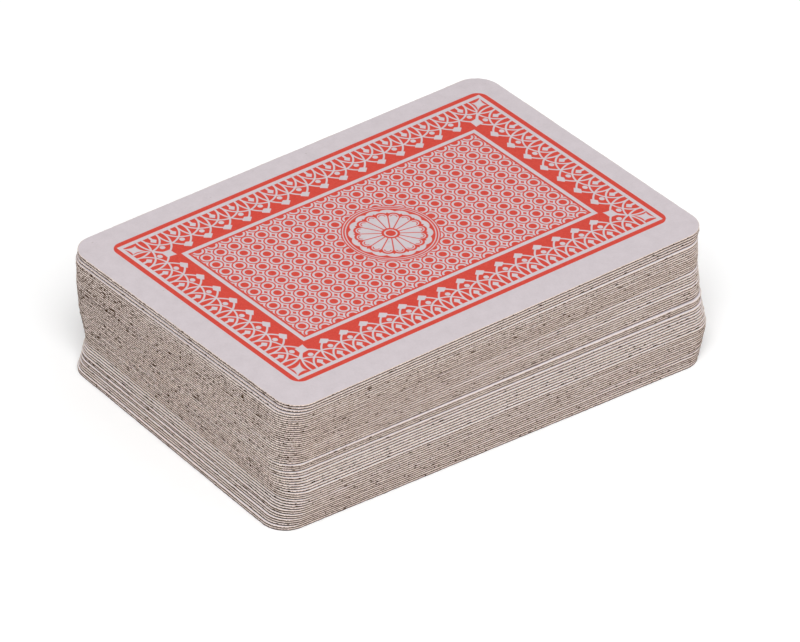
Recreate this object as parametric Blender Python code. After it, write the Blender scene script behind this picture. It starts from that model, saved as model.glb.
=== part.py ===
"""A miniature deck of playing cards, lying face down as a loosely squared stack.

Every card is its own object: a thin die-cut board with rounded corners, lying on the card beneath it.
The lowest card lies on the table, centred on the origin, with its long side along X.
"""
import math
import random

import bmesh
import bpy

MM = 0.001

# One card
CARD_LENGTH = 60.0 * MM
CARD_WIDTH = 40.0 * MM
CARD_THICKNESS = 0.267 * MM
CORNER_RADIUS = 3.0 * MM
CORNER_SEGMENTS = 6

# The stack: air between two cards, and how far each strays from its neighbours
AIR_GAP = 0.009 * MM
STRAY = 0.02 * MM
STRAY_TURN = math.radians(0.03)
STRAY_SEED = 11

# How the squared stack leans: cards up from the table, then along, across and turn of that card
LEAN = (
    (0, 0.00 * MM, 0.00 * MM, math.radians(0.00)),
    (1, 0.01 * MM, 0.00 * MM, math.radians(0.02)),
    (2, 0.20 * MM, 0.01 * MM, math.radians(0.14)),
    (3, 0.27 * MM, 0.01 * MM, math.radians(0.16)),
    (4, 0.28 * MM, 0.01 * MM, math.radians(0.18)),
    (5, 0.47 * MM, 0.02 * MM, math.radians(0.28)),
    (6, 0.49 * MM, 0.03 * MM, math.radians(0.42)),
    (7, 0.62 * MM, 0.05 * MM, math.radians(0.44)),
    (8, 0.63 * MM, 0.08 * MM, math.radians(0.46)),
    (9, 0.77 * MM, 0.10 * MM, math.radians(0.46)),
    (10, 0.82 * MM, 0.12 * MM, math.radians(0.46)),
    (12, 1.03 * MM, 0.17 * MM, math.radians(0.44)),
    (13, 1.11 * MM, 0.20 * MM, math.radians(0.42)),
    (15, 1.17 * MM, 0.27 * MM, math.radians(0.40)),
    (21, 1.16 * MM, 0.94 * MM, math.radians(0.36)),
    (22, 1.16 * MM, 1.10 * MM, math.radians(0.38)),
    (23, 1.16 * MM, 1.18 * MM, math.radians(0.40)),
    (24, 1.17 * MM, 1.40 * MM, math.radians(0.54)),
    (26, 1.18 * MM, 1.42 * MM, math.radians(0.56)),
    (27, 1.20 * MM, 1.70 * MM, math.radians(0.74)),
    (32, 1.18 * MM, 1.80 * MM, math.radians(1.02)),
    (33, 1.18 * MM, 1.88 * MM, math.radians(1.17)),
    (34, 1.17 * MM, 1.95 * MM, math.radians(1.32)),
    (36, 1.15 * MM, 2.01 * MM, math.radians(1.52)),
    (37, 1.14 * MM, 2.03 * MM, math.radians(1.62)),
    (38, 1.13 * MM, 2.10 * MM, math.radians(1.84)),
    (46, 1.10 * MM, 2.12 * MM, math.radians(2.02)),
    (48, 1.10 * MM, 2.22 * MM, math.radians(2.06)),
    (49, 1.11 * MM, 2.23 * MM, math.radians(2.10)),
    (50, 1.12 * MM, 2.33 * MM, math.radians(2.40)),
    (51, 1.33 * MM, 2.43 * MM, math.radians(2.45)),
    (52, 1.54 * MM, 2.54 * MM, math.radians(2.45)),
    (53, 1.55 * MM, 2.60 * MM, math.radians(2.45)),
)

# What the deck holds, from the table upwards
SUITS = ("spades", "hearts", "clubs", "diamonds")
RANKS = ("ace", "two", "three", "four", "five", "six", "seven", "eight", "nine", "ten", "jack", "queen", "king")
JOKERS = ("red_joker", "black_joker")

# Finishes: colour, roughness
PAPER_FINISH = ((0.64, 0.58, 0.62, 1.0), 0.45)
CORE_FINISH = ((0.37, 0.31, 0.26, 1.0), 0.90)


def clear_scene():
    for thing in list(bpy.data.objects):
        bpy.data.objects.remove(thing, do_unlink=True)


def make_material(name, finish):
    colour, roughness = finish
    material = bpy.data.materials.new(name)
    material.use_nodes = True
    shader = material.node_tree.nodes["Principled BSDF"]
    shader.inputs["Base Color"].default_value = colour
    shader.inputs["Roughness"].default_value = roughness
    shader.inputs["Metallic"].default_value = 0.0
    return material


def is_upright(edge):
    low, high = (corner.co for corner in edge.verts)
    return abs(low.z - high.z) > CARD_THICKNESS / 2


def make_card_mesh(paper, core):
    """One die-cut card: a thin slab, its four upright edges rounded, its underside at z = 0."""
    shape = bmesh.new()
    bmesh.ops.create_cube(shape, size=1.0)
    bmesh.ops.scale(shape, vec=(CARD_LENGTH, CARD_WIDTH, CARD_THICKNESS), verts=shape.verts)
    bmesh.ops.translate(shape, vec=(0.0, 0.0, CARD_THICKNESS / 2), verts=shape.verts)
    bmesh.ops.bevel(
        shape,
        geom=[edge for edge in shape.edges if is_upright(edge)],
        offset=CORNER_RADIUS,
        offset_type="OFFSET",
        segments=CORNER_SEGMENTS,
        profile=0.5,
        affect="EDGES",
    )
    shape.normal_update()
    for face in shape.faces:
        # Printed paper on both flats, bare board core round the cut edge
        face.material_index = 0 if abs(face.normal.z) > 0.5 else 1
        face.smooth = face.material_index == 1
    mesh = bpy.data.meshes.new("card")
    shape.to_mesh(mesh)
    shape.free()
    mesh.materials.append(paper)
    mesh.materials.append(core)
    mesh.set_sharp_from_angle(angle=math.radians(40))
    return mesh


def lean_at(level):
    """Along, across and turn of the card this many cards up from the table, between the known ones."""
    for lower, upper in zip(LEAN, LEAN[1:]):
        if level <= upper[0]:
            share = (level - lower[0]) / (upper[0] - lower[0])
            return tuple(a + share * (b - a) for a, b in zip(lower[1:], upper[1:]))
    return LEAN[-1][1:]


def place_card(card, level, stray):
    along, across, turn = lean_at(level)
    if LEAN[0][0] < level < LEAN[-1][0]:
        along += stray.uniform(-STRAY, STRAY)
        across += stray.uniform(-STRAY, STRAY)
        turn += stray.uniform(-STRAY_TURN, STRAY_TURN)
    card.location = (along, across, level * (CARD_THICKNESS + AIR_GAP))
    card.rotation_euler = (0.0, 0.0, turn)


def card_names():
    return [f"{rank}_of_{suit}" for suit in SUITS for rank in RANKS] + list(JOKERS)


def build_deck():
    clear_scene()
    deck = bpy.data.collections.new("miniature_playing_card_deck")
    bpy.context.scene.collection.children.link(deck)
    seat = bpy.data.objects.new("deck_seat", None)
    deck.objects.link(seat)
    paper = make_material("coated_paper", PAPER_FINISH)
    core = make_material("board_core", CORE_FINISH)
    mesh = make_card_mesh(paper, core)
    stray = random.Random(STRAY_SEED)
    for level, name in enumerate(card_names()):
        card = bpy.data.objects.new(name, mesh)
        card.parent = seat
        deck.objects.link(card)
        place_card(card, level, stray)


build_deck()
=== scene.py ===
import math

import bpy
import numpy as np
from mathutils import Matrix, Vector


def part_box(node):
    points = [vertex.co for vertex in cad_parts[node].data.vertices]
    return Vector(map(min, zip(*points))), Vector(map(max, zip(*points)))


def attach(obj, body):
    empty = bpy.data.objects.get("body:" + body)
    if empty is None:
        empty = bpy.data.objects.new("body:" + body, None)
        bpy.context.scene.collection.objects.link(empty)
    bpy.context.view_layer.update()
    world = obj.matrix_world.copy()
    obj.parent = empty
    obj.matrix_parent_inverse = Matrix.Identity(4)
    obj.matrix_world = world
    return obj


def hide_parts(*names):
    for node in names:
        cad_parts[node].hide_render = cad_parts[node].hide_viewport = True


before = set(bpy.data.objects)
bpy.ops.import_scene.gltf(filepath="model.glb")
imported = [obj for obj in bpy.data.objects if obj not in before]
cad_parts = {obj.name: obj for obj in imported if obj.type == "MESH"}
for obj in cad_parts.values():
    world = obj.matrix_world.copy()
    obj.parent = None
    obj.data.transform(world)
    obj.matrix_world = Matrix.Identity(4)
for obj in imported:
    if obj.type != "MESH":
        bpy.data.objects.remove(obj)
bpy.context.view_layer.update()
mm = 0.001
print("frame loaded:", len(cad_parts), "cards")


# the view, the floor and the light

view = {
    "lens": 357.43, "sensor": 36.0,  # mm
    "clip": (0.05, 20.0),  # m
    "azimuth": -38.291, "elevation": 34.329, "roll": 2.259,  # degrees
    "distance": 885.2, "aside": 1.133, "above": -9.403,  # mm, from the middle of the top card
}
studio = {
    "worldStrength": 0.42, "backdrop": 1.0,  # the light all round, and the white that the camera sees behind
    "floorColour": (0.95, 0.95, 0.95), "floorRoughness": 0.9, "floorSpecular": 0.1,
    "floorSize": 6.0,  # m
    "floorDrop": 0.05,  # mm below the lowest card
    "floorGlow": (0.10, 0.65),  # near the deck and far from it
    "glowReach": (0.25, 0.90),  # m, where the glow starts to rise and where it ends
    "aim": (0, 0, 0.005),  # m
    "lamps": {  # watts, size and place in m
        "key": (7.1, 0.7, (-0.36, -0.45, 0.82)),
        "leftSide": (1.40, 0.6, (-0.60, 0.60, 0.30)),
        "rightSide": (2.55, 0.6, (0.60, -0.60, 0.30)),
    },
}


def topCentre():
    low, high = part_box("black_joker")
    return Vector(((low.x + high.x) / 2, (low.y + high.y) / 2, high.z))


def placeCamera():
    turn, lift, roll = (math.radians(view[key]) for key in ("azimuth", "elevation", "roll"))
    back = Vector((math.sin(turn) * math.cos(lift), -math.cos(turn) * math.cos(lift), math.sin(lift)))
    right = Vector((math.cos(turn), math.sin(turn), 0.0))
    up = back.cross(right)
    rolledRight = math.cos(roll) * right + math.sin(roll) * up
    rolledUp = -math.sin(roll) * right + math.cos(roll) * up
    away = view["distance"] * back + view["aside"] * rolledRight + view["above"] * rolledUp
    spot = topCentre() + mm * away
    data = bpy.data.cameras.new("camera")
    data.sensor_fit = "HORIZONTAL"
    data.sensor_width = view["sensor"]
    data.lens = view["lens"]
    data.clip_start, data.clip_end = view["clip"]
    camera = bpy.data.objects.new("camera", data)
    camera.matrix_world = Matrix((
        (rolledRight.x, rolledUp.x, back.x, spot.x),
        (rolledRight.y, rolledUp.y, back.y, spot.y),
        (rolledRight.z, rolledUp.z, back.z, spot.z),
        (0.0, 0.0, 0.0, 1.0),
    ))
    bpy.context.scene.collection.objects.link(camera)
    bpy.context.scene.camera = camera


def addSoftbox(name, power, size, at):
    data = bpy.data.lights.new(name, "AREA")
    data.shape = "DISK"
    data.size = size
    data.energy = power
    lamp = bpy.data.objects.new(name, data)
    lamp.location = at
    lamp.rotation_euler = (Vector(studio["aim"]) - Vector(at)).to_track_quat("-Z", "Y").to_euler()
    bpy.context.scene.collection.objects.link(lamp)


def between(tree, socket, low, high):
    # low and high are each a value of the socket and the number that it gives; even between them
    node = tree.nodes.new("ShaderNodeMapRange")
    tree.links.new(socket, node.inputs["Value"])
    node.inputs["From Min"].default_value, node.inputs["To Min"].default_value = low
    node.inputs["From Max"].default_value, node.inputs["To Max"].default_value = high
    return node.outputs["Result"]


def makeWorld():
    world = bpy.context.scene.world or bpy.data.worlds.new("world")
    bpy.context.scene.world = world
    world.use_nodes = True
    tree = world.node_tree
    sky = tree.nodes.get("Background") or tree.nodes.new("ShaderNodeBackground")
    sky.inputs["Color"].default_value = (1.0, 1.0, 1.0, 1.0)
    seen = tree.nodes.new("ShaderNodeLightPath").outputs["Is Camera Ray"]
    strength = between(tree, seen, (0.0, studio["worldStrength"]), (1.0, studio["backdrop"]))
    tree.links.new(strength, sky.inputs["Strength"])


def makeFloor():
    half, height = studio["floorSize"] / 2, -studio["floorDrop"] * mm
    mesh = bpy.data.meshes.new("floor")
    corners = [(-half, -half, height), (half, -half, height), (half, half, height), (-half, half, height)]
    mesh.from_pydata(corners, [], [(0, 1, 2, 3)])
    material = bpy.data.materials.new("floorPaint")
    material.use_nodes = True
    tree = material.node_tree
    shader = tree.nodes["Principled BSDF"]
    shader.inputs["Base Color"].default_value = (*studio["floorColour"], 1.0)
    shader.inputs["Roughness"].default_value = studio["floorRoughness"]
    shader.inputs["Specular IOR Level"].default_value = studio["floorSpecular"]
    shader.inputs["Emission Color"].default_value = (1.0, 1.0, 1.0, 1.0)
    spot = tree.nodes.new("ShaderNodeTexCoord")
    reach = tree.nodes.new("ShaderNodeVectorMath")
    reach.operation = "LENGTH"
    tree.links.new(spot.outputs["Object"], reach.inputs[0])
    low, high = zip(studio["glowReach"], studio["floorGlow"])
    tree.links.new(between(tree, reach.outputs["Value"], low, high), shader.inputs["Emission Strength"])
    mesh.materials.append(material)
    floor = bpy.data.objects.new("floor", mesh)
    bpy.context.scene.collection.objects.link(floor)


bpy.context.scene.view_settings.view_transform = "Standard"
placeCamera()
makeWorld()
makeFloor()
for lamp, (power, size, at) in studio["lamps"].items():
    addSoftbox(lamp, power, size, at)
print("camera, floor and light placed")


# shader arithmetic: a wire is one number in a node tree, and sums on wires add Math nodes

class Wire:
    def __init__(self, tree, socket):
        self.tree = tree
        self.socket = socket

    def __add__(self, other):
        return mathNode(self.tree, "ADD", self, other)

    def __sub__(self, other):
        return mathNode(self.tree, "SUBTRACT", self, other)

    def __rsub__(self, other):
        return mathNode(self.tree, "SUBTRACT", other, self)

    def __mul__(self, other):
        return mathNode(self.tree, "MULTIPLY", self, other)

    def __truediv__(self, other):
        return mathNode(self.tree, "DIVIDE", self, other)

    def __pow__(self, other):
        return mathNode(self.tree, "POWER", self, other)

    def __abs__(self):
        return mathNode(self.tree, "ABSOLUTE", self)

    def __neg__(self):
        return mathNode(self.tree, "MULTIPLY", self, -1.0)


def mathNode(tree, operation, *values):
    node = tree.nodes.new("ShaderNodeMath")
    node.operation = operation
    for place, value in enumerate(values):
        if isinstance(value, Wire):
            tree.links.new(value.socket, node.inputs[place])
        else:
            node.inputs[place].default_value = value
    return Wire(tree, node.outputs[0])


def wrap(value, half):
    # brought into the span from -half to half by whole spans
    return mathNode(value.tree, "WRAP", value, half, -half)


def least(first, *others):
    for other in others:
        first = mathNode(first.tree, "MINIMUM", first, other)
    return first


def most(first, *others):
    for other in others:
        first = mathNode(first.tree, "MAXIMUM", first, other)
    return first


def choose(mask, yes, no):
    # yes where mask is 1, no where it is 0
    return mathNode(mask.tree, "MULTIPLY_ADD", mask, yes - no, no)


def point(u, v):
    node = u.tree.nodes.new("ShaderNodeCombineXYZ")
    u.tree.links.new(u.socket, node.inputs[0])
    u.tree.links.new(v.socket, node.inputs[1])
    return Wire(u.tree, node.outputs[0])


def splitPoint(tree, socket):
    node = tree.nodes.new("ShaderNodeSeparateXYZ")
    tree.links.new(socket, node.inputs[0])
    return Wire(tree, node.outputs[0]), Wire(tree, node.outputs[1])


def distance(spot, x, y):
    node = spot.tree.nodes.new("ShaderNodeVectorMath")
    node.operation = "DISTANCE"
    spot.tree.links.new(spot.socket, node.inputs[0])
    node.inputs[1].default_value = (x, y, 0.0)
    return Wire(spot.tree, node.outputs["Value"])


def stroke(spot, x, y, radius, width):
    # signed distance to a circular line of this width
    return abs(distance(spot, x, y) - radius) - width / 2


def slant(u, v, side):
    # signed distance past a straight side, given by a point on it and its outward direction
    (atU, atV), (outU, outV) = side
    return (u - atU) * outU + (v - atV) * outV


def insideBox(across, up, half):
    # signed distance to a box about the middle, for across and up that are above 0
    return most(across - half[0], up - half[1])


def ramp(value, low, high):
    # 0 on low's side, 1 on high's side, and even between them
    return Wire(value.tree, between(value.tree, value.socket, (low, 0.0), (high, 1.0)))


def inkEdge(depth, softness):
    # 1 inside (depth below 0), 0 outside, with a soft edge
    return ramp(depth, softness, -softness)


def mixColour(tree, mask, first, second):
    node = tree.nodes.new("ShaderNodeMix")
    node.data_type = "RGBA"
    tree.links.new(mask.socket, node.inputs[0])
    for place, value in ((6, first), (7, second)):
        if isinstance(value, Wire):
            tree.links.new(value.socket, node.inputs[place])
        else:
            node.inputs[place].default_value = (*value, 1.0)
    return Wire(tree, node.outputs[2])


def noiseAt(tree, coordinates, scale, detail, roughness, stretch=None):
    source = coordinates
    if stretch:
        mapping = tree.nodes.new("ShaderNodeMapping")
        mapping.inputs["Scale"].default_value = stretch
        tree.links.new(coordinates, mapping.inputs["Vector"])
        source = mapping.outputs["Vector"]
    node = tree.nodes.new("ShaderNodeTexNoise")
    node.inputs["Scale"].default_value = scale
    node.inputs["Detail"].default_value = detail
    node.inputs["Roughness"].default_value = roughness
    tree.links.new(source, node.inputs["Vector"])
    return Wire(tree, node.outputs["Fac"])


# the printed back, in mm on the card

backPrint = {
    "shift": (0.528, 0.427), "turn": 0.151,  # how far off the middle the sheet was cut
    "line": (26.93, 16.66), "lineRound": 1.4, "lineWidth": 0.65,
    "laceBase": (25.8, 15.5), "mitre": 1.095,  # the corner's own line, side over end
    "lacePitch": (2.783, 2.905), "laceTips": (7, 3), "laceShallow": 0.95,
    "laceShift": (0.11, 0.05), "laceSkew": 0.0065,
    "innerShift": (0.0, 0.05), "innerSkew": (0.002, 0.0037),
    "frameOut": (21.18, 10.745), "frameIn": (20.67, 10.24), "field": (20.385, 9.97),
    "cell": (1.948, 1.672), "rings": ((0.60, 0.24), (0.9975, 0.205)),
    "inkSoftness": 0.03,
}
lacePrint = {  # from the middle of an arch's foot; straight sides as a point and the outward direction
    "line": 0.22,
    "archAt": (-1.848, 0.5), "archRadius": 3.657,
    "nextOver": 0.06, "nextTop": 2.35,  # how far the next arch reaches over into this one, and how high
    "crossAt": (1.69, -0.37), "crossRadius": 2.76, "crossEnd": 1.42,
    "dotHeight": 2.45, "dot": 0.32,
    "arrowHead": (((0.0, 1.325), (0.749, 0.662)), ((0.15, 0.5), (0.792, -0.611))),
    "arrowShaft": (0.15, 0.7),
    "tip": (((0.0, 4.17), (0.646, 0.764)), ((0.65, 3.62), (0.867, -0.5)), ((0.5, 3.36), (0.489, -0.873))),
    "noTip": 9.0,  # pushes the tip out of sight
}
cornerPrint = {  # place, direction, then reach, width and hollow of a star
    "inStar": ((0.78, 1.0), (0.707, 0.707), (1.5, 0.95, 0.60)),
    "outStar": ((3.47, 3.78), (0.68, 0.733), (0.95, 0.80, 0.90)),
    "starScale": 0.4,
    "stemHalf": 0.21, "stemFlare": 0.05, "stemLength": 1.9,
}
rosettePrint = {  # radii and half widths
    "edge": 5.58, "petals": 16,
    "circles": ((0.665, 0.085), (5.05, 0.06), (5.37, 0.06)),
    "petalStart": 1.05, "petalEnd": 3.37, "petalRound": 0.56, "spokeHalf": 0.07,
    "curl": (0.36, 0.065),
    "lobeAt": 3.603, "lobe": 1.147, "lobeClear": 0.83, "lobeFrom": 4.0,
    "lobeFoot": (4.2, 1.2),  # where the lobe starts on the spoke, and how that falls away from it
}


def lacePattern(u, v, pitch, tipped):
    # pointed arches of two arcs, crossed by long arcs, with a dot, an arrow at the foot and a tip on top
    line, (archX, archY), (crossX, crossY) = lacePrint["line"], lacePrint["archAt"], lacePrint["crossAt"]
    archRadius, crossRadius = lacePrint["archRadius"], lacePrint["crossRadius"]
    spot = point(u, v)
    white = stroke(spot, archX, archY, archRadius, line)
    nextArch = stroke(point(pitch - u, v), archX, archY, archRadius, line)
    nextArch = most(nextArch, u - (pitch / 2 + lacePrint["nextOver"]), v - lacePrint["nextTop"])
    farCross = most(stroke(spot, crossX, crossY, crossRadius, line), u - lacePrint["crossEnd"])
    nearCross = stroke(spot, -crossX, crossY, crossRadius, line)
    dot = distance(spot, 0.0, lacePrint["dotHeight"]) - lacePrint["dot"]
    white = least(white, nextArch, farCross, nearCross, dot)
    head = most(*(slant(u, v, side) for side in lacePrint["arrowHead"]))
    shaft = insideBox(u, v, lacePrint["arrowShaft"])
    tip = most(*(slant(u, v, side) for side in lacePrint["tip"]))
    return least(white, head, shaft, tip + (1.0 - tipped) * lacePrint["noTip"])


def turnedFrame(fromEnd, fromSide, at, direction):
    # along and aside of a point's own direction
    end, side = fromEnd - at[0], fromSide - at[1]
    along = end * direction[0] + side * direction[1]
    aside = end * direction[1] - side * direction[0]
    return along, aside


def hollowStar(along, aside, shape):
    reach, width, hollow = shape
    return ((abs(along) / reach) ** hollow + (abs(aside) / width) ** hollow - 1.0) * cornerPrint["starScale"]


def cornerPattern(fromEnd, fromSide):
    # a hollow-sided star in the corner, and another at the end of a stem along the corner's own line
    at, direction, shape = cornerPrint["inStar"]
    along, aside = turnedFrame(fromEnd, fromSide, at, direction)
    white = hollowStar(along, aside, shape)
    at, direction, shape = cornerPrint["outStar"]
    along, aside = turnedFrame(fromEnd, fromSide, at, direction)
    halfStem = along * cornerPrint["stemFlare"] + cornerPrint["stemHalf"]
    stalk = most(abs(aside) - halfStem, along, -cornerPrint["stemLength"] - along)
    return least(white, hollowStar(along, aside, shape), stalk)


def rosettePattern(x, y):
    # round-ended petals about a ringed hub, a scalloped ring and two fine circles
    tree, petalEnd = x.tree, rosettePrint["petalEnd"]
    step = 2 * math.pi / rosettePrint["petals"]
    radius = distance(point(x, y), 0.0, 0.0)
    folded = abs(wrap(mathNode(tree, "ARCTAN2", y, x), step / 2))
    white = least(*(abs(radius - middle) - half for middle, half in rosettePrint["circles"]))
    along = radius * mathNode(tree, "COSINE", folded)
    endDistance = distance(point(along, radius * mathNode(tree, "SINE", folded)), petalEnd, 0.0)
    fromSpoke = step / 2 - folded
    spokeAlong = radius * mathNode(tree, "COSINE", fromSpoke)
    spokeAside = radius * mathNode(tree, "SINE", fromSpoke)
    blade = most(rosettePrint["spokeHalf"] - spokeAside, along - petalEnd)
    petal = least(blade, endDistance - rosettePrint["petalRound"])
    curlRadius, curlHalf = rosettePrint["curl"]
    curl = most(abs(endDistance - curlRadius) - curlHalf, petalEnd - along)
    white = least(white, most(petal, rosettePrint["petalStart"] - radius, -curl))
    lobe = distance(point(spokeAlong, spokeAside), rosettePrint["lobeAt"], 0.0) - rosettePrint["lobe"]
    footStart, footFall = rosettePrint["lobeFoot"]
    foot = footStart - spokeAside * footFall - radius
    lobe = most(lobe, rosettePrint["lobeClear"] - endDistance, rosettePrint["lobeFrom"] - radius, foot)
    return least(white, lobe), radius


def fieldPattern(x, y):
    # ring lattice kept clear of the rosette, and a plain white frame round it
    x, y = (
        x + y * backPrint["innerSkew"][0] - backPrint["innerShift"][0],
        y + x * backPrint["innerSkew"][1] - backPrint["innerShift"][1],
    )
    ax, ay = abs(x), abs(y)
    cell = point(wrap(x, backPrint["cell"][0] / 2), wrap(y, backPrint["cell"][1] / 2))
    lattice = least(*(stroke(cell, 0.0, 0.0, radius, width) for radius, width in backPrint["rings"]))
    lattice = most(lattice, insideBox(ax, ay, backPrint["field"]))
    rosette, radius = rosettePattern(x, y)
    edge = rosettePrint["edge"]
    border = most(insideBox(ax, ay, backPrint["frameOut"]), -insideBox(ax, ay, backPrint["frameIn"]))
    return least(most(lattice, edge - radius), most(rosette, radius - edge), border)


def laceBorder(x, y, fromEnd, fromSide):
    # the long sides' run and the short sides' run meet along the corner's own line
    tree = x.tree
    longSide = mathNode(tree, "LESS_THAN", fromSide, fromEnd * backPrint["mitre"])
    pitchLong, pitchShort = backPrint["lacePitch"]
    tipsLong, tipsShort = backPrint["laceTips"]
    runLong = abs(x - backPrint["laceShift"][0])
    runShort = abs(y + x * backPrint["laceSkew"] - backPrint["laceShift"][1])
    countLong = least(mathNode(tree, "ROUND", runLong / pitchLong), tipsLong + 1.0)
    countShort = least(mathNode(tree, "ROUND", runShort / pitchShort), tipsShort + 1.0)
    uLong = abs(runLong - countLong * pitchLong)
    uShort = abs(runShort - countShort * pitchShort) * (pitchLong / pitchShort)
    tippedLong = mathNode(tree, "LESS_THAN", countLong, tipsLong + 0.5)
    tippedShort = mathNode(tree, "LESS_THAN", countShort, tipsShort + 0.5)
    u = choose(longSide, uLong, uShort)
    v = choose(longSide, fromSide, fromEnd / backPrint["laceShallow"])
    lace = lacePattern(u, v, pitchLong, choose(longSide, tippedLong, tippedShort))
    return least(lace, cornerPattern(fromEnd, fromSide))


def makeBackGroup():
    # one output: 1 where the red ink lies
    tree = bpy.data.node_groups.new("backPrintInk", "ShaderNodeTree")
    tree.interface.new_socket("Card", in_out="INPUT", socket_type="NodeSocketVector")
    tree.interface.new_socket("Ink", in_out="OUTPUT", socket_type="NodeSocketFloat")
    source, sink = tree.nodes.new("NodeGroupInput"), tree.nodes.new("NodeGroupOutput")
    mapping = tree.nodes.new("ShaderNodeMapping")
    mapping.vector_type = "TEXTURE"
    mapping.inputs["Location"].default_value = (*backPrint["shift"], 0.0)
    mapping.inputs["Rotation"].default_value = (0.0, 0.0, math.radians(backPrint["turn"]))
    tree.links.new(source.outputs[0], mapping.inputs["Vector"])
    x, y = splitPoint(tree, mapping.outputs["Vector"])
    ax, ay = abs(x), abs(y)
    fromEnd, fromSide = backPrint["laceBase"][0] - ax, backPrint["laceBase"][1] - ay
    toBase = -least(fromEnd, fromSide)
    white = least(fieldPattern(x, y), most(laceBorder(x, y, fromEnd, fromSide), toBase))

    # white line outside the lace, then the red line with round outer corners
    half, rounding = backPrint["line"], backPrint["lineRound"]
    lineIn = (half[0] - backPrint["lineWidth"], half[1] - backPrint["lineWidth"])
    white = least(white, most(insideBox(ax, ay, lineIn), -toBase))
    corner = point(most(ax - (half[0] - rounding), 0.0), most(ay - (half[1] - rounding), 0.0))
    redEdge = distance(corner, 0.0, 0.0) - rounding
    ink = inkEdge(most(redEdge, -white), backPrint["inkSoftness"])
    tree.links.new(ink.socket, sink.inputs[0])
    return tree


# finishes

card = {
    "half": (30.0, 20.0), "corner": 3.0, "thick": 0.267,  # mm
    "aroundCount": 720,
    "seed": 5,
    "rolledWidth": 0.3,  # how far in from the cut the edges are rolled over, in mm
    "belly": 0.004,  # how far the board stands out between the two rolled edges, in mm
    "wave": 0.016,  # how far the cut strays in and out, in mm
    "waveParts": ((0.6, (3, 40), 10), (0.5, (40, 300), 40)),  # height, cycles round, number of sines
    "rollMean": 0.9, "rollParts": ((0.25, (2, 30), 8), (0.25, (30, 240), 30)),
    "rollBack": (0.35, 1.5), "rollFace": (0.3, 1.5),  # least and most
    "boardBands": 2,  # bands of the rolled face that are bare board
    "withoutRimLight": 4,  # cards at the top that get no painted rim light
}
paperFinish = {
    "white": (0.610, 0.549, 0.576), "whiteDull": (0.545, 0.488, 0.511), "dullFrom": (0.3, 0.9),
    "red": (0.575, 0.0478, 0.0302), "redThin": (0.652, 0.0705, 0.0477), "thinFrom": (0.35, 0.75),
    # painted light: a band along the rim of the back, lighter than the paper itself, standing in for light
    # on the ledges where cards stand out
    "paintedRimLight": (0.810, 0.750, 0.775), "rimLightWidth": 0.28, "rimLightGrain": 0.8, "rimLightShare": 0.5,
    "worn": (0.65, 0.545, 0.475), "wornWidth": 0.06,
    "mottle": (0.6, 3.0, 0.6), "grain": (5.0, 2.0, 0.6), "grainShare": 0.7,  # scale, detail, roughness
    "specks": (1.7, 1.0, 0.5), "speckFrom": (0.775, 0.80), "speckShare": 0.35, "speck": (0.30, 0.25, 0.22),
    "roughness": 0.48, "roughGrain": 0.16, "smoothInk": 0.05, "specular": 0.3,
    "bump": 0.35, "grainHeight": 0.012, "inkHeight": 0.15,  # strength, mm, share of the grain
}
boardFinish = {
    "core": (0.385, 0.293, 0.244), "dark": (0.036, 0.017, 0.006), "pale": (0.805, 0.690, 0.645),
    "chip": (0.042, 0.018, 0.006),
    "cardStep": 4.537,  # mm between two cards' places in the noise
    "fibre": (2.0, 3.0, 0.7, (1.0, 2.6, 1.0)), "fibreShare": 0.2,  # scale, detail, roughness, stretch
    "fine": (6.0, 0.0, 0.5, (1.0, 1.4, 1.0)), "fineShare": 0.8,
    "specks": (1.45, 1.0, 0.4), "chipFrom": (0.648, 0.658), "fewerChips": 0.02,  # fewer on the long sides
    "endsFade": (0.5, -1.5),  # mm past the end of the short side
    "sideGrain": 0.3, "endGrain": 0.85,  # on every side, and more on the short ones
    "paleFrom": (0.505, 0.560), "darkFrom": (0.492, 0.425),
    "lowCards": (18.0, 10.0),  # cards up from the table
    "lipFrom": (0.62, 0.82), "lipShare": 0.55, "lipLow": 0.2,
    # painted shade at the foot of each card's edge, in the board's dark colour: where it starts, how strong,
    # how far it strays, and how much further up it reaches on the lower cards
    "seamShadeFrom": (0.56, 0.42), "seamShadeShare": 0.97,
    "seamShadeStray": 0.03, "seamShadeStrayEnds": 0.07, "seamShadeLow": 0.06, "seamShadeLowEnds": 0.09,
    "bump": 0.5, "bumpHeight": 0.05, "chipHeight": 0.5,
    "roughness": 0.92, "specular": 0.0,
}


def quarterLength():
    # a quarter of the way round the card
    (halfX, halfY), corner = card["half"], card["corner"]
    return halfX + halfY - 2 * corner + math.pi / 2 * corner


def newMaterial(name):
    material = bpy.data.materials.new(name)
    material.use_nodes = True
    tree = material.node_tree
    return material, tree, tree.nodes["Principled BSDF"]


def cardCoordinates(tree):
    node = tree.nodes.new("ShaderNodeUVMap")
    node.uv_map = "cardMap"
    return node.outputs["UV"]


def objectCoordinates(tree):
    # Object coordinates in mm
    node = tree.nodes.new("ShaderNodeTexCoord")
    scale = tree.nodes.new("ShaderNodeVectorMath")
    scale.operation = "SCALE"
    scale.inputs["Scale"].default_value = 1.0 / mm
    tree.links.new(node.outputs["Object"], scale.inputs[0])
    return scale.outputs["Vector"]


def addBump(tree, shader, height, strength, depth):
    node = tree.nodes.new("ShaderNodeBump")
    node.inputs["Strength"].default_value = strength
    node.inputs["Distance"].default_value = depth * mm
    tree.links.new(height.socket, node.inputs["Height"])
    tree.links.new(node.outputs["Normal"], shader.inputs["Normal"])


def nearEdge(tree, cardSpot, width):
    # 1 at the cut edge, 0 further in than this width
    x, y = splitPoint(tree, cardSpot)
    (halfX, halfY), corner = card["half"], card["corner"]
    off = point(most(abs(x) - (halfX - corner), 0.0), most(abs(y) - (halfY - corner), 0.0))
    return ramp(distance(off, 0.0, 0.0), corner - width, corner - width * 0.5)


def placeGroup(tree, group, *values):
    node = tree.nodes.new("ShaderNodeGroup")
    node.node_tree = group
    for place, value in enumerate(values):
        tree.links.new(value.socket, node.inputs[place])
    return [Wire(tree, socket) for socket in node.outputs]


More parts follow.
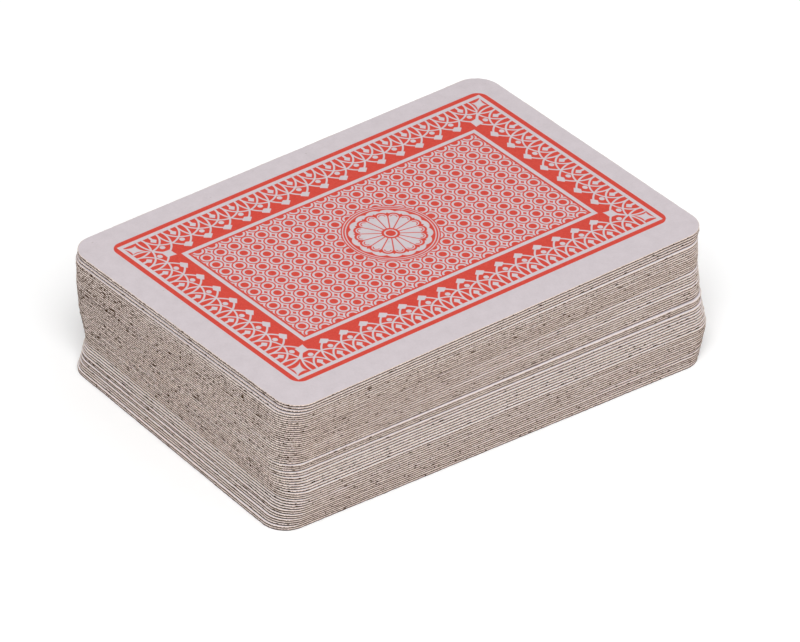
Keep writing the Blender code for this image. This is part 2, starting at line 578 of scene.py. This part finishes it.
def makePaperGroup():
    # coated paper: its white with a faint mottle and a few specks, and the grain that its gloss follows
    tree = bpy.data.node_groups.new("coatedPaper", "ShaderNodeTree")
    tree.interface.new_socket("White", in_out="OUTPUT", socket_type="NodeSocketColor")
    tree.interface.new_socket("Grain", in_out="OUTPUT", socket_type="NodeSocketFloat")
    sink = tree.nodes.new("NodeGroupOutput")
    space = objectCoordinates(tree)
    mottle = noiseAt(tree, space, *paperFinish["mottle"])
    grain = noiseAt(tree, space, *paperFinish["grain"])
    specks = ramp(noiseAt(tree, space, *paperFinish["specks"]), *paperFinish["speckFrom"])
    dull = ramp(mottle + (grain - 0.5) * paperFinish["grainShare"], *paperFinish["dullFrom"])
    white = mixColour(tree, dull, paperFinish["white"], paperFinish["whiteDull"])
    white = mixColour(tree, specks * paperFinish["speckShare"], white, paperFinish["speck"])
    tree.links.new(white.socket, sink.inputs[0])
    tree.links.new(grain.socket, sink.inputs[1])
    return tree


def coatPaper(tree, shader, colour, grain, ink):
    # the coating's gloss follows the grain, and is smoother where ink lies
    tree.links.new(colour.socket, shader.inputs["Base Color"])
    rough = grain * paperFinish["roughGrain"] + paperFinish["roughness"] - ink * paperFinish["smoothInk"]
    tree.links.new(rough.socket, shader.inputs["Roughness"])
    height = grain + ink * paperFinish["inkHeight"]
    addBump(tree, shader, height, paperFinish["bump"], paperFinish["grainHeight"])
    shader.inputs["Specular IOR Level"].default_value = paperFinish["specular"]


def makeBackMaterial(name, rimLightShare):
    material, tree, shader = newMaterial(name)
    cardSpot = cardCoordinates(tree)
    white, grain = placeGroup(tree, paperGroup)
    [ink] = placeGroup(tree, backGroup, Wire(tree, cardSpot))
    # painted light: the rim is made lighter than the paper, standing in for light on the ledges between the
    # cards
    patchy = grain * paperFinish["rimLightGrain"] + paperFinish["rimLightShare"]
    paintedRimLight = nearEdge(tree, cardSpot, paperFinish["rimLightWidth"]) * patchy * rimLightShare
    white = mixColour(tree, paintedRimLight, white, paperFinish["paintedRimLight"])
    white = mixColour(tree, nearEdge(tree, cardSpot, paperFinish["wornWidth"]), white, paperFinish["worn"])
    red = mixColour(tree, ramp(grain, *paperFinish["thinFrom"]), paperFinish["red"], paperFinish["redThin"])
    coatPaper(tree, shader, mixColour(tree, ink, white, red), grain, ink)
    return material


# the printed faces, in mm on a card held upright

facePrint = {
    "pip": 3.2, "acePip": 8.0, "courtPip": 5.2, "cornerPip": 1.7,  # half heights
    "cornerAt": (16.2, 25.4),
    "frame": (13.2, 22.6), "frameLine": 0.4, "frameGap": 0.5,
    "net": 3.1, "netLine": 0.2, "clear": 7.6, "ringStep": 0.95, "ringLine": 0.36,
    "star": 9.0, "starPoints": 5, "starSide": (0.328, 0.945), "starRing": 11.5, "starRingLine": 0.5,
    "red": (0.560, 0.030, 0.022), "black": (0.020, 0.019, 0.021),
}
# pips as across, up, and whether the same stand upside down in the other half;
# where across is above 0 they stand in both columns
pipPlaces = {
    "two": ((0.0, 19.5, True),),
    "three": ((0.0, 19.5, True), (0.0, 0.0, False)),
    "four": ((8.2, 19.5, True),),
    "five": ((8.2, 19.5, True), (0.0, 0.0, False)),
    "six": ((8.2, 19.5, True), (8.2, 0.0, False)),
    "seven": ((8.2, 19.5, True), (8.2, 0.0, False), (0.0, 9.75, False)),
    "eight": ((8.2, 19.5, True), (8.2, 0.0, False), (0.0, 9.75, True)),
    "nine": ((8.2, 19.5, True), (8.2, 6.5, True), (0.0, 0.0, False)),
    "ten": ((8.2, 19.5, True), (8.2, 6.5, True), (0.0, 13.0, True)),
}
courtRings = {"jack": 1, "queen": 2, "king": 3}
pipForm = {  # in units of the half height; straight sides as a point and the outward direction
    "stemHalf": 0.05, "stemFlare": 0.38, "stemBend": 3.0, "stemFoot": 0.98,
    "heartLobe": (0.5, 0.42, 0.52), "heartSide": ((0.0, -1.0), (0.770, -0.637)), "heartBox": (0.95, 0.3),
    "spadeLobe": (0.46, -0.22, 0.46), "spadeSide": ((0.0, 1.0), (0.751, 0.660)), "spadeBase": -0.1,
    "clubRounds": ((0.0, 0.52, 0.42), (0.47, -0.16, 0.42), (0.0, 0.1, 0.2)),
    "diamondSide": ((0.0, 1.0), (0.811, 0.584)),
}


def disc(spot, form):
    x, y, radius = form
    return distance(spot, x, y) - radius


def stem(across, up):
    # a foot that flares downwards
    flare = abs(up) ** pipForm["stemBend"] * pipForm["stemFlare"]
    return most(across - flare - pipForm["stemHalf"], up, -pipForm["stemFoot"] - up)


def heart(across, up):
    # two lobes over a point
    body = most(slant(across, up, pipForm["heartSide"]), insideBox(across, up, pipForm["heartBox"]))
    return least(disc(point(across, up), pipForm["heartLobe"]), body)


def spade(across, up):
    # a point over two lobes, on a stem
    body = most(slant(across, up, pipForm["spadeSide"]), pipForm["spadeBase"] - up)
    return least(disc(point(across, up), pipForm["spadeLobe"]), body, stem(across, up))


def club(across, up):
    # three rounds and a small one between them, on a stem
    spot = point(across, up)
    return least(*(disc(spot, form) for form in pipForm["clubRounds"]), stem(across, up))


def diamond(across, up):
    return slant(across, abs(up), pipForm["diamondSide"])


def makePipGroup(name, shape):
    # one suit's mark, two units high: depth below 0 inside it
    tree = bpy.data.node_groups.new(name, "ShaderNodeTree")
    tree.interface.new_socket("Across", in_out="INPUT", socket_type="NodeSocketFloat")
    tree.interface.new_socket("Up", in_out="INPUT", socket_type="NodeSocketFloat")
    tree.interface.new_socket("Depth", in_out="OUTPUT", socket_type="NodeSocketFloat")
    source, sink = tree.nodes.new("NodeGroupInput"), tree.nodes.new("NodeGroupOutput")
    across, up = abs(Wire(tree, source.outputs[0])), Wire(tree, source.outputs[1])
    tree.links.new(shape(across, up).socket, sink.inputs[0])
    return tree


def pip(suit, across, up, size):
    [depth] = placeGroup(across.tree, pipGroups[suit], across / size, up / size)
    return depth * size


def courtPanel(across, up, rings):
    # a doubled frame, a net of crossing lines, and a clear round with rings about it
    ax, ay = abs(across), abs(up)
    half, line, gap = facePrint["frame"], facePrint["frameLine"], facePrint["frameGap"]
    insets = (0.0, line, line + gap, line * 1.5 + gap)
    boxes = [insideBox(ax, ay, (half[0] - inset, half[1] - inset)) for inset in insets]
    panel = least(most(boxes[0], -boxes[1]), most(boxes[2], -boxes[3]))
    radius = distance(point(across, up), 0.0, 0.0)
    net = least(*(abs(wrap(slope, facePrint["net"] / 2)) for slope in (across + up, across - up)))
    edge = facePrint["clear"] + rings * facePrint["ringStep"]
    panel = least(panel, most(net - facePrint["netLine"] / 2, boxes[3], edge - radius))
    for ring in range(rings):
        middle = facePrint["clear"] + (ring + 0.5) * facePrint["ringStep"]
        panel = least(panel, abs(radius - middle) - facePrint["ringLine"] / 2)
    return panel


def jokerStar(across, up):
    # a star in a ring: one point's share of a turn folded about that point
    tree, share = across.tree, 2 * math.pi / facePrint["starPoints"]
    radius = distance(point(across, up), 0.0, 0.0)
    folded = abs(wrap(mathNode(tree, "ARCTAN2", across, up), share / 2))
    along, aside = radius * mathNode(tree, "COSINE", folded), radius * mathNode(tree, "SINE", folded)
    star = slant(along, aside, ((facePrint["star"], 0.0), facePrint["starSide"]))
    return least(star, abs(radius - facePrint["starRing"]) - facePrint["starRingLine"] / 2)


def faceDepth(name, across, up):
    # depth below 0 where the face carries ink
    if name.endswith("joker"):
        return jokerStar(across, up)
    rank, suit = name.split("_of_")
    turn = mathNode(across.tree, "SIGN", up)
    turnedAcross, turnedUp = across * turn, abs(up)
    cornerX, cornerY = facePrint["cornerAt"]
    depth = pip(suit, turnedAcross + cornerX, turnedUp - cornerY, facePrint["cornerPip"])
    if rank == "ace":
        return least(depth, pip(suit, across, up, facePrint["acePip"]))
    if rank in courtRings:
        panel = courtPanel(across, up, courtRings[rank])
        return least(depth, panel, pip(suit, across, up, facePrint["courtPip"]))
    for x, y, turned in pipPlaces[rank]:
        fromMiddle, height = (turnedAcross, turnedUp) if turned else (across, up)
        if x:
            fromMiddle = abs(fromMiddle) - x
        depth = least(depth, pip(suit, fromMiddle, height - y, facePrint["pip"]))
    return depth


def makeFaceMaterial(name):
    material, tree, shader = newMaterial(name + "Face")
    white, grain = placeGroup(tree, paperGroup)
    up, across = splitPoint(tree, cardCoordinates(tree))
    ink = inkEdge(faceDepth(name, across, up), backPrint["inkSoftness"])
    isRed = name.endswith(("hearts", "diamonds")) or name.startswith("red")
    colour = mixColour(tree, ink, white, facePrint["red" if isRed else "black"])
    coatPaper(tree, shader, colour, grain, ink)
    return material


def makeEdgeMaterial():
    # the cut board: grain and chips, a pale lip of the back's paper, and painted shade at the foot of each
    # edge, in the seam to the card below
    material, tree, shader = newMaterial("cutBoardEdge")
    around, height = splitPoint(tree, cardCoordinates(tree))
    level = mathNode(tree, "FLOOR", height)
    rise = height - level  # 0 at the face, 1 at the back
    board = point(around, level * boardFinish["cardStep"] + rise * card["thick"]).socket
    fibre = noiseAt(tree, board, *boardFinish["fibre"])
    fine = noiseAt(tree, board, *boardFinish["fine"])
    specks = noiseAt(tree, board, *boardFinish["specks"])

    # across the fibres, on the short sides, the cut is rougher
    toEnd = abs(wrap(around, quarterLength()))
    ends = ramp(toEnd, *(card["half"][1] + fade for fade in boardFinish["endsFade"]))
    mixed = fibre * boardFinish["fibreShare"] + fine * boardFinish["fineShare"] - 0.5
    tone = mixed * (ends * boardFinish["endGrain"] + boardFinish["sideGrain"]) + 0.5
    fewer = boardFinish["fewerChips"]
    chips = ramp(specks + ends * fewer - fewer, *boardFinish["chipFrom"])

    # on the lower cards the painted seam shade reaches further up, and their lips are whiter
    low = ramp(level, *boardFinish["lowCards"])
    stray = (fine - 0.5) * (ends * boardFinish["seamShadeStrayEnds"] + boardFinish["seamShadeStray"])
    deeperShade = low * (ends * boardFinish["seamShadeLowEnds"] + boardFinish["seamShadeLow"])
    # painted shade: the foot of each edge, next to the card below, is darkened
    seamShade = ramp(rise + stray - deeperShade, *boardFinish["seamShadeFrom"]) * boardFinish["seamShadeShare"]
    lip = ramp(rise, *boardFinish["lipFrom"]) * (low * boardFinish["lipLow"] + boardFinish["lipShare"])

    colour = mixColour(tree, ramp(tone, *boardFinish["paleFrom"]), boardFinish["core"], boardFinish["pale"])
    colour = mixColour(tree, ramp(tone, *boardFinish["darkFrom"]), colour, boardFinish["dark"])
    colour = mixColour(tree, lip, colour, boardFinish["pale"])
    # the painted seam shade, in the board's dark colour
    colour = mixColour(tree, seamShade, colour, boardFinish["dark"])
    colour = mixColour(tree, chips, colour, boardFinish["chip"])
    tree.links.new(colour.socket, shader.inputs["Base Color"])
    shader.inputs["Roughness"].default_value = boardFinish["roughness"]
    relief = tone - chips * boardFinish["chipHeight"]
    addBump(tree, shader, relief, boardFinish["bump"], boardFinish["bumpHeight"])
    shader.inputs["Specular IOR Level"].default_value = boardFinish["specular"]
    return material


backGroup, paperGroup = makeBackGroup(), makePaperGroup()
pipShapes = {"spades": spade, "hearts": heart, "clubs": club, "diamonds": diamond}
pipGroups = {suit: makePipGroup(suit + "Pip", shape) for suit, shape in pipShapes.items()}
coveredBack = makeBackMaterial("printedBackCovered", 1.0)  # painted light on the rims, which show as ledges between the cards
openBack = makeBackMaterial("printedBackOpen", 0.0)  # the top few cards, without the painted rim light
boardEdge = makeEdgeMaterial()
print("finishes made")


# one card: its rounded outline, carried from the middle of the back over the edge to the middle of the face

# inset from the cut edge and drop from the back, in mm; then inset and rise from the face
rolledBack = ((1.2, 0.0), (0.30, 0.0), (0.06, 0.001), (0.02, 0.004), (0.006, 0.012), (0.0, 0.030))
rolledFace = ((0.0, 0.036), (0.012, 0.018), (0.035, 0.007), (0.09, 0.002), (0.34, 0.0), (1.2, 0.0))


def outline(count):
    # points and outward normals at equal steps round a rectangle with round corners, from the middle
    # of the +X end; each quarter is half a side, a corner's arc and half the next side
    (halfX, halfY), corner = card["half"], card["corner"]
    flatX, flatY, arc = halfX - corner, halfY - corner, math.pi / 2 * corner
    quarter = flatX + flatY + arc
    s = (np.arange(count) + 0.5) / count * (4 * quarter)
    turn = np.floor(s / quarter).astype(int)
    t = s - turn * quarter
    odd = turn % 2 == 1
    first = np.where(odd, flatX, flatY)
    far = np.where(odd, halfY, halfX)
    angle = np.clip((t - first) / corner, 0, math.pi / 2)
    along = np.minimum(t, first) + corner * np.sin(angle)
    out = far - corner + corner * np.cos(angle) - np.maximum(t - first - arc, 0)
    c, d = np.array([1, 0, -1, 0])[turn], np.array([0, 1, 0, -1])[turn]
    place = np.stack([out * c - along * d, out * d + along * c], 1)
    normal = np.stack([np.cos(angle) * c - np.sin(angle) * d, np.cos(angle) * d + np.sin(angle) * c], 1)
    return place, normal, s


def ripple(rng, s, around, cycles, count):
    # sum of sines that closes round the card, of about unit height
    turns = rng.integers(cycles[0], cycles[1], count)
    phases = rng.uniform(0, 2 * math.pi, count)
    return np.sin(2 * math.pi * np.outer(s / around, turns) + phases).sum(1) / math.sqrt(count / 2)


def uneven(rng, s, around, mean, parts):
    total = mean
    for height, cycles, count in parts:
        total = total + height * ripple(rng, s, around, cycles, count)
    return total


def cardPlace(node):
    # middle, underside and turn of the CAD card: the long axis of its corner points
    flat = np.empty(len(node.data.vertices) * 3)
    node.data.vertices.foreach_get("co", flat)
    spots = flat.reshape(-1, 3)
    corners = np.unique(np.round(spots[:, :2], 7), axis=0)
    low, high = corners.min(0), corners.max(0)
    middle = (low + high) / 2
    off = corners - middle
    turn = 0.5 * math.atan2(2 * (off[:, 0] * off[:, 1]).sum(), (off[:, 0] ** 2 - off[:, 1] ** 2).sum())
    return middle / mm, spots[:, 2].min() / mm, turn


def profileRing(place, normal, inset, height, wave, roll):
    # one line round the card; near the cut its inset follows the roll and the cut's own waves
    push = inset * roll - wave if inset < card["rolledWidth"] else np.full(len(wave), inset)
    return np.column_stack([place - normal * push[:, None], height])


def cardSurface(level):
    rng = np.random.default_rng(card["seed"] * 1000 + level)
    place, normal, s = outline(card["aroundCount"])
    around, thick = s[-1] + s[0], card["thick"]
    wave = card["wave"] * uneven(rng, s, around, 0.0, card["waveParts"])
    rollBack = np.clip(uneven(rng, s, around, card["rollMean"], card["rollParts"]), *card["rollBack"])
    rollFace = np.clip(uneven(rng, s, around, card["rollMean"], card["rollParts"]), *card["rollFace"])
    rings = []
    for inset, drop in rolledBack:
        rings.append(profileRing(place, normal, inset, thick - drop * rollBack, wave, rollBack))
    middle = (thick - rolledBack[-1][1] * rollBack + rolledFace[0][1] * rollFace) / 2
    rings.append(np.column_stack([place + normal * (wave + card["belly"])[:, None], middle]))
    for inset, rise in rolledFace:
        rings.append(profileRing(place, normal, inset, rise * rollFace, wave, rollFace))
    return np.stack(rings), s


def onDeck(name, local):
    # from mm on the card to metres where the CAD card lies
    middle, underside, turn = cardPlace(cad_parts[name])
    c, d = math.cos(turn), math.sin(turn)
    return np.column_stack([
        middle[0] + local[:, 0] * c - local[:, 1] * d,
        middle[1] + local[:, 0] * d + local[:, 1] * c,
        underside + local[:, 2],
    ]) * mm


def cardFaces(ringCount, count):
    # quads between the rings from back to face, then a fan on each flat; slots are back, cut board and face
    index = np.arange(ringCount * count).reshape(ringCount, count)
    nextIndex = np.roll(index, -1, 1)
    quads = np.stack([index[:-1], index[1:], nextIndex[1:], nextIndex[:-1]], -1).reshape(-1, 4)
    top, bottom = ringCount * count, ringCount * count + 1
    topFan = np.stack([np.full(count, top), index[0], nextIndex[0]], -1)
    bottomFan = np.stack([np.full(count, bottom), nextIndex[-1], index[-1]], -1)
    loops = np.concatenate([quads.ravel(), topFan.ravel(), bottomFan.ravel()])
    sizes = np.concatenate([np.full(len(quads), 4), np.full(2 * count, 3)])
    band = np.repeat(np.arange(ringCount - 1), count)
    backBands, faceBands = len(rolledBack) - 1, ringCount - len(rolledFace) + card["boardBands"]
    slot = np.where(band < backBands, 0, np.where(band < faceBands, 1, 2))
    slot = np.concatenate([slot, np.zeros(count, int), np.full(count, 2)])
    return loops, sizes, slot


def cardMap(local, loops, onEdge, s, level):
    # mm on the card for the flats; for the edge, mm round the card, and the card's number plus
    # the share of its thickness
    count = len(s)
    ringCount = (len(local) - 2) // count
    quadCount = (ringCount - 1) * count
    isLast = (np.arange(quadCount) % count == count - 1).repeat(4)
    isFar = np.tile([False, False, True, True], quadCount)
    closes = np.concatenate([isLast & isFar, np.zeros(6 * count, bool)])  # where the outline meets its start
    around = np.concatenate([np.tile(s, ringCount), [0, 0]])[loops]
    around = np.where(closes, s[-1] + (s[1] - s[0]), around)
    edgeMap = np.column_stack([around, level + local[loops][:, 2] / card["thick"]])
    return np.where(onEdge[:, None], edgeMap, local[loops][:, :2])


def makeCard(name, level):
    rings, s = cardSurface(level)
    local = np.concatenate([rings.reshape(-1, 3), [[0, 0, card["thick"]], [0, 0, 0]]])
    spots = onDeck(name, local)
    loops, sizes, slot = cardFaces(*rings.shape[:2])
    starts = np.concatenate([[0], np.cumsum(sizes)[:-1]])
    mesh = bpy.data.meshes.new(name + "Card")
    mesh.vertices.add(len(spots))
    mesh.vertices.foreach_set("co", spots.astype(np.float32).ravel())
    mesh.loops.add(len(loops))
    mesh.loops.foreach_set("vertex_index", loops.astype(np.int32))
    mesh.polygons.add(len(sizes))
    mesh.polygons.foreach_set("loop_start", starts.astype(np.int32))
    mesh.polygons.foreach_set("material_index", slot.astype(np.int32))
    mesh.polygons.foreach_set("use_smooth", np.ones(len(sizes), bool))
    spread = cardMap(local, loops, np.repeat(slot, sizes) == 1, s, level)
    mesh.uv_layers.new(name="cardMap").data.foreach_set("uv", spread.astype(np.float32).ravel())
    hasNoRimLight = level >= len(cardNames) - card["withoutRimLight"]
    for material in (openBack if hasNoRimLight else coveredBack, boardEdge, makeFaceMaterial(name)):
        mesh.materials.append(material)
    mesh.update(calc_edges=True)
    mesh.validate()
    piece = bpy.data.objects.new(name + "_printed", mesh)
    bpy.context.scene.collection.objects.link(piece)
    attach(piece, name)
    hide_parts(name)


cardNames = sorted(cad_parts, key=lambda name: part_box(name)[0].z)
for level, name in enumerate(cardNames):
    makeCard(name, level)
print("cards made:", len(cardNames))
